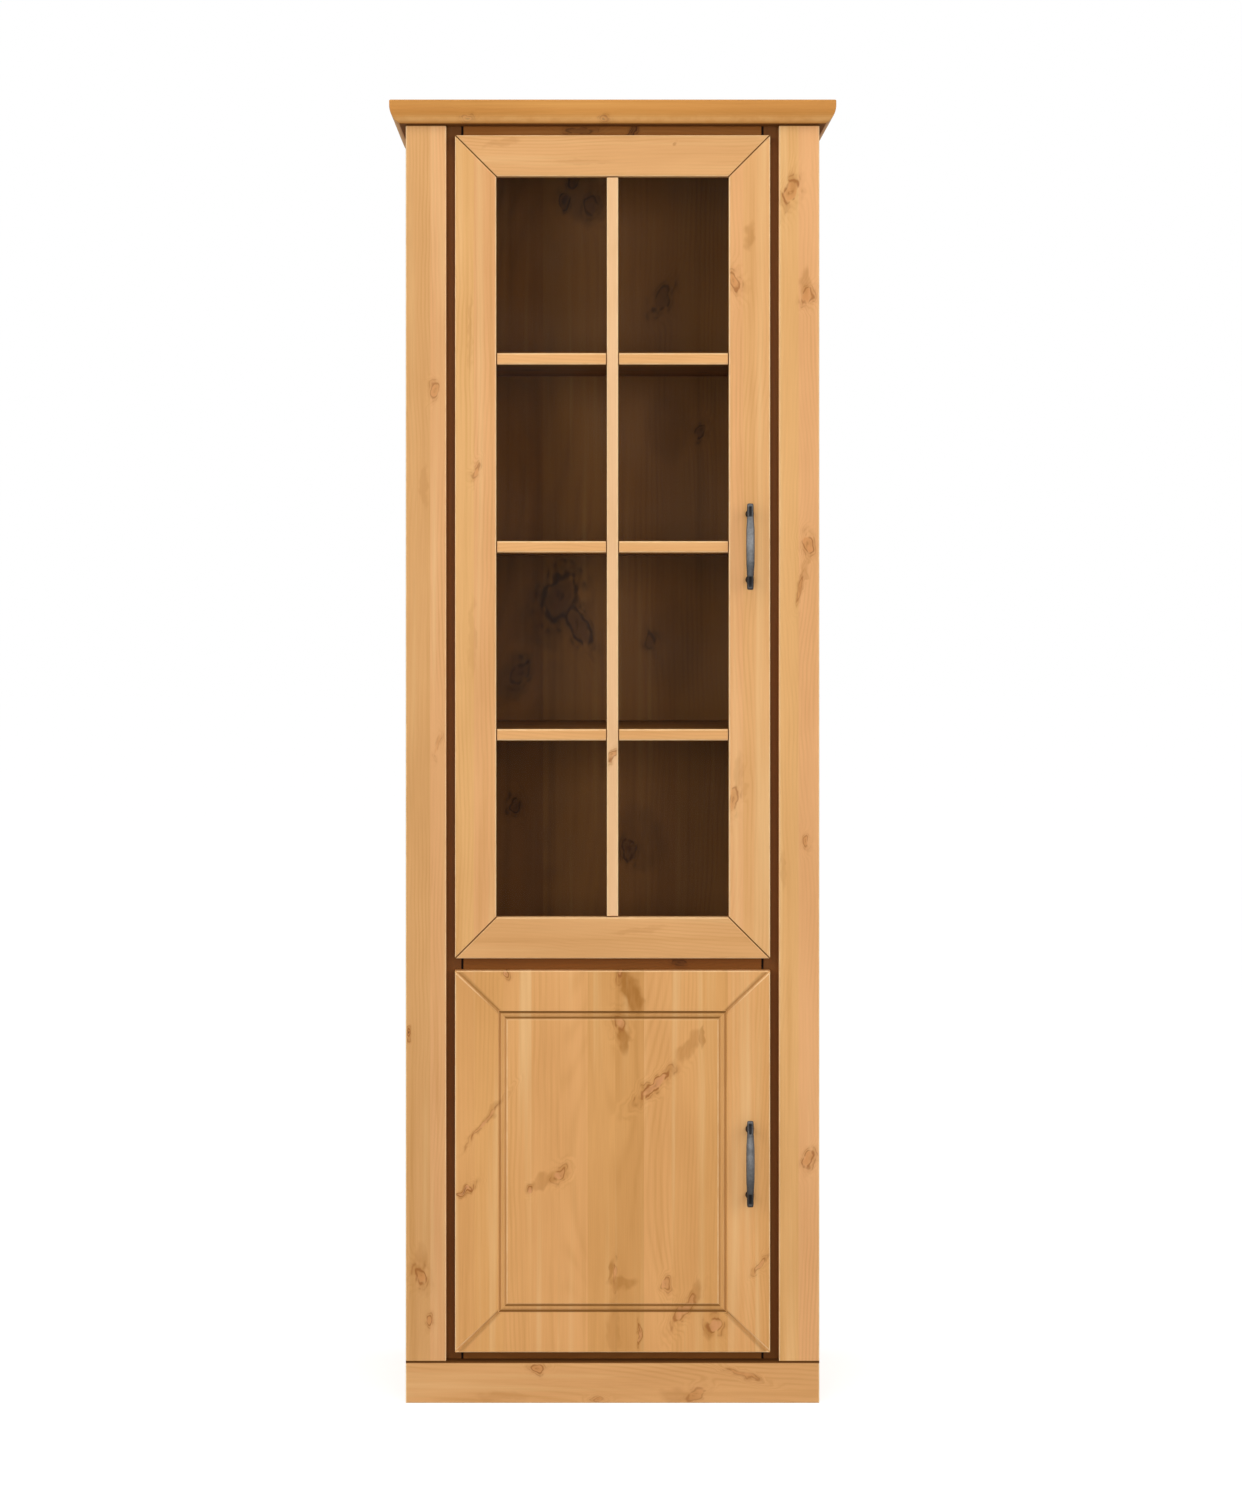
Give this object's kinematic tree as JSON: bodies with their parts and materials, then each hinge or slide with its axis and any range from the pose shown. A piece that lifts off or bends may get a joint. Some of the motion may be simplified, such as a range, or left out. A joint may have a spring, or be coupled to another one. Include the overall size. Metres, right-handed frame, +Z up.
{
  "type": "pantry cabinet",
  "caption": "Tall narrow pine pantry cabinet with a glazed muntin door over a solid panel door, crown moulding, plinth and adjustable shelves.",
  "frame": {"origin": "on the floor, under the centre of the cabinet's bounding box", "axes": "+X to the right seen from the front, +Y to the back, +Z up; the doors face -Y"},
  "size_m": [0.65, 0.4, 1.9],
  "materials": {
    "honey_pine": "satin lacquer over honey-stained knotty pine",
    "brown_pine": "satin dark brown stain over pine",
    "brown_back": "satin dark brown stain over knotty pine panel",
    "beech": "raw beech",
    "glass": "clear float glass",
    "pewter": "dark antique pewter, darker in the recesses",
    "nickel": "nickel plated",
    "steel": "zinc plated",
    "zinc": "zinc plated sheet",
    "clear_plastic": "soft clear plastic"
  },
  "bodies": {
    "cabinet": {"crown_front": "honey_pine", "crown_left": "honey_pine", "crown_right": "honey_pine", "left_post": "honey_pine", "right_post": "honey_pine", "plinth_board": "honey_pine", "frame_left_stile": "brown_pine", "frame_right_stile": "brown_pine", "frame_top_rail": "brown_pine", "frame_middle_rail": "brown_pine", "frame_bottom_rail": "brown_pine", "left_side_panel": "honey_pine", "right_side_panel": "honey_pine", "top_panel": "brown_pine", "divider_panel": "brown_pine", "bottom_panel": "brown_pine", "upper_back_panel": "brown_back", "lower_back_panel": "brown_back", "rear_plinth_rail": "brown_pine", "upper_shelf_bottom": "brown_pine", "upper_shelf_middle": "brown_pine", "upper_shelf_top": "brown_pine", "lower_shelf": "brown_pine", "shelf_pins": "nickel", "carcass_dowels": "beech", "back_nails": "steel", "wall_brackets": "zinc", "bracket_screws": "nickel", "glass_door_hinge_arms": "nickel", "panel_door_hinge_arms": "nickel", "hinge_plate_screws": "steel"},
    "glass_door": {"glass_door_left_stile": "honey_pine", "glass_door_right_stile": "honey_pine", "glass_door_top_rail": "honey_pine", "glass_door_bottom_rail": "honey_pine", "muntin_vertical": "honey_pine", "muntins_top_row": "honey_pine", "muntins_middle_row": "honey_pine", "muntins_bottom_row": "honey_pine", "glass_pane": "glass", "glass_beads": "honey_pine", "glass_door_handle": "pewter", "glass_door_handle_screws": "steel", "glass_door_hinge_cups": "nickel", "glass_door_cup_screws": "steel", "glass_door_bumpers": "clear_plastic"},
    "panel_door": {"panel_door_board": "honey_pine", "panel_door_handle": "pewter", "panel_door_handle_screws": "steel", "panel_door_hinge_cups": "nickel", "panel_door_cup_screws": "steel", "panel_door_bumpers": "clear_plastic"},
    "glass_door_links": {"glass_door_hinge_links": "nickel"},
    "panel_door_links": {"panel_door_hinge_links": "nickel"}
  },
  "joints": [
    {"name": "glass_door_hinge", "type": "hinge", "parent": "cabinet", "child": "glass_door", "pos_m": [-0.224, -0.162, 1.25], "axis": [0, 0, -1], "range_deg": [0, 110]},
    {"name": "panel_door_hinge", "type": "hinge", "parent": "cabinet", "child": "panel_door", "pos_m": [-0.224, -0.162, 0.3525], "axis": [0, 0, -1], "range_deg": [0, 110]},
    {"name": "glass_door_link_pivot", "type": "hinge", "parent": "cabinet", "child": "glass_door_links", "pos_m": [-0.2, -0.1545, 1.25], "axis": [0, 0, 1], "range_deg": [0, 72]},
    {"name": "panel_door_link_pivot", "type": "hinge", "parent": "cabinet", "child": "panel_door_links", "pos_m": [-0.2, -0.1545, 0.3525], "axis": [0, 0, 1], "range_deg": [0, 72]}
  ],
  "couplings": [
    {"joint": "glass_door_link_pivot", "follows": "glass_door_hinge", "ratio": 0.65},
    {"joint": "panel_door_link_pivot", "follows": "panel_door_hinge", "ratio": 0.65}
  ]
}
